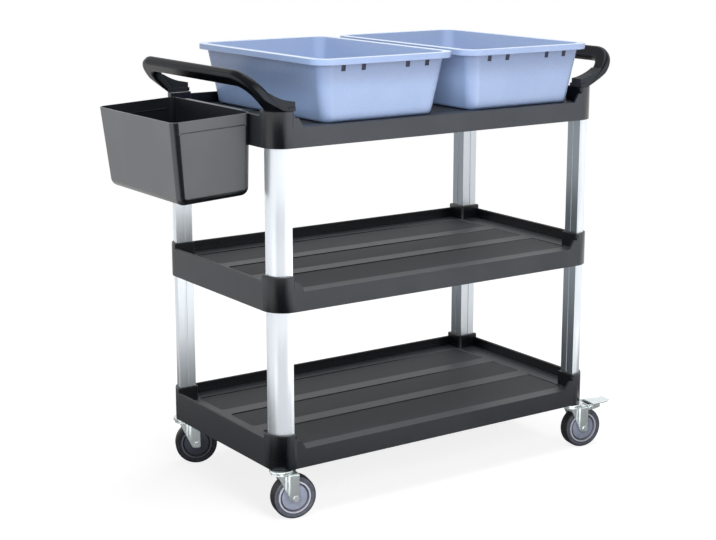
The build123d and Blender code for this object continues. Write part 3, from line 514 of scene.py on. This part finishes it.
def makeBin(look):
    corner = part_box("hook_on_bin")[1]
    face = corner.x - look["hookGap"] - look["hookThickness"]
    shell = makeBinShell(look)

    # The wall against the shelf stands upright, so the whole shell leans by its taper
    lean = math.radians(look["taper"])
    bmesh.ops.transform(shell, verts=shell.verts, matrix=Matrix((
        (-math.cos(lean), 0.0, -math.sin(lean), face),
        (0.0, -1.0, 0.0, look["middleY"]),
        (-math.sin(lean), 0.0, math.cos(lean), corner.z),
        (0.0, 0.0, 0.0, 1.0))))

    # Hook over the rim
    back = face - look["wall"] / 2
    inner = corner.x - look["hookThickness"]
    under = corner.z - look["hookThickness"]
    foot = corner.z - look["hookDrop"]
    outline = ((back, under), (inner, under), (inner, foot),
               (corner.x, foot), (corner.x, corner.z), (back, corner.z))
    start = look["middleY"] - look["hookLength"] / 2
    profile = shell.faces.new([shell.verts.new((x, start, z)) for x, z in outline])
    grown = bmesh.ops.extrude_face_region(shell, geom=[profile])["geom"]
    bmesh.ops.translate(shell, vec=(0.0, look["hookLength"], 0.0), verts=vertsIn(grown))
    hookFaces = {side for vert in profile.verts for side in vert.link_faces}
    hookFaces |= {part for part in grown if isinstance(part, bmesh.types.BMFace)}
    bmesh.ops.recalc_face_normals(shell, faces=list(hookFaces))
    inside = mouldedPlastic("binInsidePaintedShade", binInsideShade)
    return finishedPiece("wasteBin", shell, (finishes["bin_plastic"], inside), look["edgeSoftness"])


wasteBin = makeBin(binShape)
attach(wasteBin, "hook_on_bin")
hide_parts("hook_on_bin")
print("waste bin made")


# Dark plates that close the slots under each tub's front lip, as painted shade
slotPlate = {"width": 0.0125, "height": 0.0150, "thickness": 0.0012, "drop": 0.0215, "setback": 0.0206,
             "lean": 9.0, "places": (-0.110, -0.058, 0.058, 0.110), "edgeSoftness": 0.0003}


def makeSlotPlates(tubName, look, material):
    low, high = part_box(tubName)
    middle = (low.x + high.x) / 2
    plates = bmesh.new()
    for place in look["places"]:
        plate = bmesh.ops.create_cube(plates, size=1.0)["verts"]
        bmesh.ops.scale(plates, vec=(look["width"], look["thickness"], look["height"]), verts=plate)
        bmesh.ops.rotate(plates, matrix=Matrix.Rotation(math.radians(look["lean"]), 3, "X"), verts=plate)
        bmesh.ops.translate(plates, verts=plate,
                            vec=(middle + place, low.y + look["setback"], high.z - look["drop"]))
    return finishedPiece(f"slotPlates_{tubName}", plates, (material,), look["edgeSoftness"])


slotShadeMaterial = cloudedPlastic("slotPaintedShade", slotShadeLook)
for tubName in tubNames:
    slotPlates = makeSlotPlates(tubName, slotPlate, slotShadeMaterial)
    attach(slotPlates, tubName)
print("slot plates made")


# Cheeks of the forks: a pad pressed outward behind a creased fold
# Its outline is measured along the trail from the swivel axis, and up from the floor
cheekPad = {"outline": ((0.0020, 0.1035), (0.0340, 0.1035), (0.0340, 0.0450),
                        (0.0162, 0.0450), (0.0020, 0.0735)),
            "height": 0.0030, "sunk": 0.0003, "footLevel": 0.0500, "footRounding": 0.0030, "roundSteps": 4,
            "foldStart": 0.0020, "foldEnd": 0.0140, "crease": (0.0070, 0.0082, 0.0094),
            "creaseReach": 0.0002, "creaseDepth": 0.0011, "sharpAngles": (0.08, 1.0),
            "cheekHalf": 0.0210, "edgeSoftness": 0.0004}


# One pad, lying flat
def makeFlatPad(look):
    pad = bmesh.new()
    pad.faces.new([pad.verts.new((along, up, 0.0)) for along, up in look["outline"]])
    footCorners = [vert for vert in pad.verts if vert.co.y < look["footLevel"]]
    bmesh.ops.bevel(pad, geom=footCorners, offset=look["footRounding"], affect="VERTICES",
                    segments=look["roundSteps"], profile=0.5, material=-1)
    grown = bmesh.ops.extrude_face_region(pad, geom=pad.faces[:])["geom"]
    bmesh.ops.translate(pad, vec=(0.0, 0.0, look["height"] + look["sunk"]), verts=vertsIn(grown))
    for place in (*look["crease"], look["foldEnd"]):
        cutLevel(pad, (place, 0.0, 0.0), (1.0, 0.0, 0.0))
    for vert in pad.verts:
        if vert.co.z > look["sunk"] and vert.co.x < look["foldEnd"]:
            rise = (vert.co.x - look["foldStart"]) / (look["foldEnd"] - look["foldStart"])
            vert.co.z = look["sunk"] + rise * look["height"]
            if abs(vert.co.x - look["crease"][1]) < look["creaseReach"]:
                vert.co.z -= look["creaseDepth"]
    bmesh.ops.recalc_face_normals(pad, faces=pad.faces[:])
    softest, sharpest = look["sharpAngles"]
    for edge in pad.edges:
        edge.smooth = not softest < edge.calc_face_angle(0.0) < sharpest
    return pad


def makeCheekPads(corner, look, material):
    swivelAxis = Vector(childJoints[f"swivel_{corner}"]["pos_m"])
    roll = childJoints[f"wheel_{corner}"]
    trail = Vector(roll["pos_m"]) - swivelAxis
    trail.z = 0.0
    trail.normalize()
    pads = makeFlatPad(look)
    other = bmesh.ops.duplicate(pads, geom=pads.verts[:] + pads.edges[:] + pads.faces[:])["geom"]
    otherVerts = vertsIn(other)
    firstVerts = [vert for vert in pads.verts if vert not in set(otherVerts)]
    for verts, side in ((firstVerts, 1.0), (otherVerts, -1.0)):
        outward = side * Vector(roll["axis"])
        start = Vector((swivelAxis.x, swivelAxis.y, 0.0)) + outward * (look["cheekHalf"] - look["sunk"])
        bmesh.ops.transform(pads, verts=verts, matrix=Matrix((
            (trail.x, 0.0, outward.x, start.x),
            (trail.y, 0.0, outward.y, start.y),
            (0.0, 1.0, 0.0, 0.0),
            (0.0, 0.0, 0.0, 1.0))))
    bmesh.ops.recalc_face_normals(pads, faces=pads.faces[:])
    return finishedPiece(f"cheekPads_{corner}", pads, (material,), look["edgeSoftness"])


cheekPads = []
for corner in cartCorners:
    cheekPads.append(makeCheekPads(corner, cheekPad, finishes["zinc_steel"]))
    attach(cheekPads[-1], f"swivel_{corner}")
print("cheek pads made")


# Floor and world
studio = {"floorSize": 60.0, "floorColour": (0.45, 0.45, 0.45), "liftSpan": (1.0, 5.0),
          "lift": (0.84, 0.955), "ambient": 0.10, "background": (1.0, 1.0, 1.0)}


def seenDirectly(tree):
    path = tree.nodes.new("ShaderNodeLightPath")
    seen = mathNode(tree, "MAXIMUM", path.outputs["Is Camera Ray"], path.outputs["Is Glossy Ray"])
    return mathNode(tree, "MAXIMUM", seen, path.outputs["Is Transmission Ray"])


def stageGrid(name, size, height, material):
    gridMesh = bmesh.new()
    bmesh.ops.create_grid(gridMesh, x_segments=1, y_segments=1, size=size / 2)
    bmesh.ops.translate(gridMesh, vec=(0.0, 0.0, height), verts=gridMesh.verts)
    mesh = bpy.data.meshes.new(name)
    gridMesh.to_mesh(mesh)
    gridMesh.free()
    mesh.materials.append(material)
    sheet = bpy.data.objects.new(name, mesh)
    bpy.context.scene.collection.objects.link(sheet)
    return sheet


def makeFloor(look):
    material, tree, shader = newMaterial("paleFloor")
    shader.inputs["Base Color"].default_value = (*look["floorColour"], 1.0)
    shader.inputs["Roughness"].default_value = 1.0
    shader.inputs["Specular IOR Level"].default_value = 0.0
    shader.inputs["Emission Color"].default_value = (1.0, 1.0, 1.0, 1.0)
    distance = vectorNode(tree, "LENGTH", coordinate(tree, "Object"))
    lift = mapped(tree, distance, look["liftSpan"], look["lift"])
    tree.links.new(mathNode(tree, "MULTIPLY", seenDirectly(tree), lift), shader.inputs["Emission Strength"])
    stageGrid("studioFloor", look["floorSize"], 0.0, material)


def makeWorld(look):
    world = bpy.data.worlds.new("studioWorld")
    bpy.context.scene.world = world
    world.use_nodes = True
    tree = world.node_tree
    background = tree.nodes["Background"]
    background.inputs["Color"].default_value = (*look["background"], 1.0)
    strength = mapped(tree, seenDirectly(tree), rising, (look["ambient"], 1.0))
    tree.links.new(strength, background.inputs["Strength"])


# What the cart sees of the floor: bright a step away from it
# Glossy faces see it with a dim, a bright and a half dim wedge
floorCard = {"radius": 6.0, "height": 0.0005, "stepSpan": (0.8, 1.6), "bounce": (0.15, 3.4),
             "frontHeading": (0.0, -1.0, 0.0), "frontSpan": (0.2, 0.8), "sideBounce": 0.25,
             "sheen": (0.15, 1.0),
             "wedges": [{"heading": (-0.566, -0.824, 0.0), "span": (0.80, 0.93), "level": 0.03},
                        {"heading": (0.2, -0.98, 0.0), "span": (0.93, 0.99), "level": 1.7},
                        {"heading": (0.707, -0.707, 0.0), "span": (0.92, 1.0), "level": 0.45}]}


def makeFloorCard(look):
    material = bpy.data.materials.new("floorCard")
    material.use_nodes = True
    tree = material.node_tree
    tree.nodes.clear()
    place = coordinate(tree, "Object")
    distance = vectorNode(tree, "LENGTH", place)

    def towards(heading, span, levels):
        ahead = mathNode(tree, "DIVIDE", vectorNode(tree, "DOT_PRODUCT", place, heading), distance)
        return mapped(tree, ahead, span, levels)

    bounce = mapped(tree, distance, look["stepSpan"], look["bounce"])
    front = towards(look["frontHeading"], look["frontSpan"], (look["sideBounce"], 1.0))
    bounce = mathNode(tree, "MULTIPLY", bounce, front)
    sheen = mapped(tree, distance, look["stepSpan"], look["sheen"])
    for wedge in look["wedges"]:
        wedgeLevel = towards(wedge["heading"], wedge["span"], (1.0, wedge["level"]))
        sheen = mathNode(tree, "MULTIPLY", sheen, wedgeLevel)
    diffuse = tree.nodes.new("ShaderNodeLightPath").outputs["Is Diffuse Ray"]
    level = mathNode(tree, "ADD", mathNode(tree, "MULTIPLY", diffuse, bounce),
                     mathNode(tree, "MULTIPLY", mathNode(tree, "SUBTRACT", 1.0, diffuse), sheen))

    # It glows upward and is clear from below
    glow = tree.nodes.new("ShaderNodeEmission")
    clear = tree.nodes.new("ShaderNodeBsdfTransparent")
    sides = tree.nodes.new("ShaderNodeMixShader")
    geometry = tree.nodes.new("ShaderNodeNewGeometry")
    output = tree.nodes.new("ShaderNodeOutputMaterial")
    tree.links.new(level, glow.inputs["Strength"])
    tree.links.new(geometry.outputs["Backfacing"], sides.inputs["Fac"])
    tree.links.new(glow.outputs["Emission"], sides.inputs[1])
    tree.links.new(clear.outputs["BSDF"], sides.inputs[2])
    tree.links.new(sides.outputs["Shader"], output.inputs["Surface"])
    card = stageGrid("floorCard", 2 * look["radius"], look["height"], material)
    card.visible_camera = False
    card.visible_transmission = False
    card.visible_shadow = False


# A softbox may light only the parts of the slots that it reaches, or leave some out
# Parts that it passes cast no shadow from it, and a plain one isn't seen in glossy faces
tubLight = (0.78, 0.91, 1.0)
softboxes = {
    "keySoftbox": {"place": (-0.5, -2.1, 1.35), "target": (0.0, 0.0, 0.75), "size": (1.0, 1.0),
                   "power": 15.0, "leavesOut": ("tub_plastic", "bin_plastic"), "plain": True},
    "topSoftbox": {"place": (0.1, -0.2, 3.0), "target": (0.0, 0.0, 0.5), "size": (2.4, 1.6),
                   "power": 55.0},
    "tubSoftbox": {"place": (-2.0, -2.3, 1.9), "target": (0.0, 0.0, 0.93), "size": (1.4, 0.8),
                   "power": 52.0, "colour": tubLight, "reaches": ("tub_plastic",), "plain": True},
    "sideSoftbox": {"place": (-2.4, -0.3, 1.2), "target": (0.0, 0.0, 0.95), "size": (1.0, 0.6),
                    "power": 14.0, "colour": tubLight, "reaches": ("tub_plastic",),
                    "passes": ("tub_plastic",), "plain": True},
    "binSoftbox": {"place": (-2.0, -0.7, 1.6), "target": (-0.5, 0.0, 0.85), "size": (0.8, 0.8),
                   "power": 24.0, "reaches": ("bin_plastic",), "plain": True},
    "casterSoftbox": {"place": (-1.3, -1.5, 0.5), "target": (-0.1, 0.0, 0.06), "size": (0.8, 0.4),
                      "power": 19.0, "reaches": ("zinc_steel", "hub_plastic", "tyre_rubber"),
                      "shaded": ("wheel_hub_back_left", "wheel_tyre_back_left")},
    "metalSoftbox": {"place": (-0.4, -1.5, 0.01), "target": (-0.4, -1.5, 1.0), "size": (4.0, 2.4),
                     "power": 18.0, "reaches": ("aluminium",)},
    "nearFoldSoftbox": {"place": (-1.00, -0.80, 0.01), "target": (-1.00, -0.80, 1.0), "size": (1.06, 0.9),
                        "power": 3.4, "reaches": ("zinc_steel",)},
    "rightFoldSoftbox": {"place": (0.21, -0.65, 0.01), "target": (0.21, -0.65, 1.0), "size": (0.42, 0.7),
                         "power": 1.2, "reaches": ("zinc_steel",)},
    "leftFoldSoftbox": {"place": (-0.75, -0.02, 0.01), "target": (-0.75, -0.02, 1.0), "size": (0.36, 0.5),
                        "power": 0.65, "reaches": ("zinc_steel",)},
}


# Parts of some slots, to be the only ones that a softbox takes in or the ones it leaves out
def slotParts(name, slots, linkState, shaded=()):
    parts = bpy.data.collections.new(name)
    for entry in frame["record"]["subparts"]:
        if entry["material_slot"] in slots and entry["node"] not in shaded:
            parts.objects.link(cartNodes[entry["node"]])
    if "bin_plastic" in slots:
        parts.objects.link(wasteBin)
    if "zinc_steel" in slots:
        for pads in cheekPads:
            parts.objects.link(pads)
    for member in parts.collection_objects:
        member.light_linking.link_state = linkState
    return parts


def makeSoftbox(name, look):
    lamp = bpy.data.lights.new(name, "AREA")
    lamp.shape = "RECTANGLE"
    lamp.size, lamp.size_y = look["size"]
    lamp.energy = look["power"]
    lamp.color = look.get("colour", (1.0, 1.0, 1.0))
    box = bpy.data.objects.new(name, lamp)
    bpy.context.scene.collection.objects.link(box)
    box.location = look["place"]
    heading = Vector(look["target"]) - Vector(look["place"])
    box.rotation_euler = heading.to_track_quat("-Z", "Y").to_euler()
    box.visible_glossy = not look.get("plain", False)
    linking = box.light_linking
    if "reaches" in look:
        linking.receiver_collection = slotParts(f"{name}Parts", look["reaches"], "INCLUDE",
                                                look.get("shaded", ()))
    if "leavesOut" in look:
        linking.receiver_collection = slotParts(f"{name}Parts", look["leavesOut"], "EXCLUDE")
    if "passes" in look:
        linking.blocker_collection = slotParts(f"{name}Clear", look["passes"], "EXCLUDE")


# Camera, with its focal length in pixels of the picture
viewpoint = {"place": (-2.1449, -3.0265, 1.3123), "heading": 34.4507, "dip": 12.8629,
             "focalPixels": 1583.42, "imageWidth": 716, "sensorWidth": 36.0}


def makeCamera(look):
    camera = bpy.data.cameras.new("photoCamera")
    camera.sensor_width = look["sensorWidth"]
    camera.lens = look["focalPixels"] / look["imageWidth"] * look["sensorWidth"]
    cameraObject = bpy.data.objects.new("photoCamera", camera)
    bpy.context.scene.collection.objects.link(cameraObject)
    cameraObject.location = look["place"]
    cameraObject.rotation_euler = (math.radians(90.0 - look["dip"]), 0.0, -math.radians(look["heading"]))
    bpy.context.scene.camera = cameraObject


makeFloor(studio)
makeFloorCard(floorCard)
makeWorld(studio)
for boxName, boxLook in softboxes.items():
    makeSoftbox(boxName, boxLook)
makeCamera(viewpoint)
bpy.context.scene.view_settings.view_transform = "Standard"
print("studio and camera made")
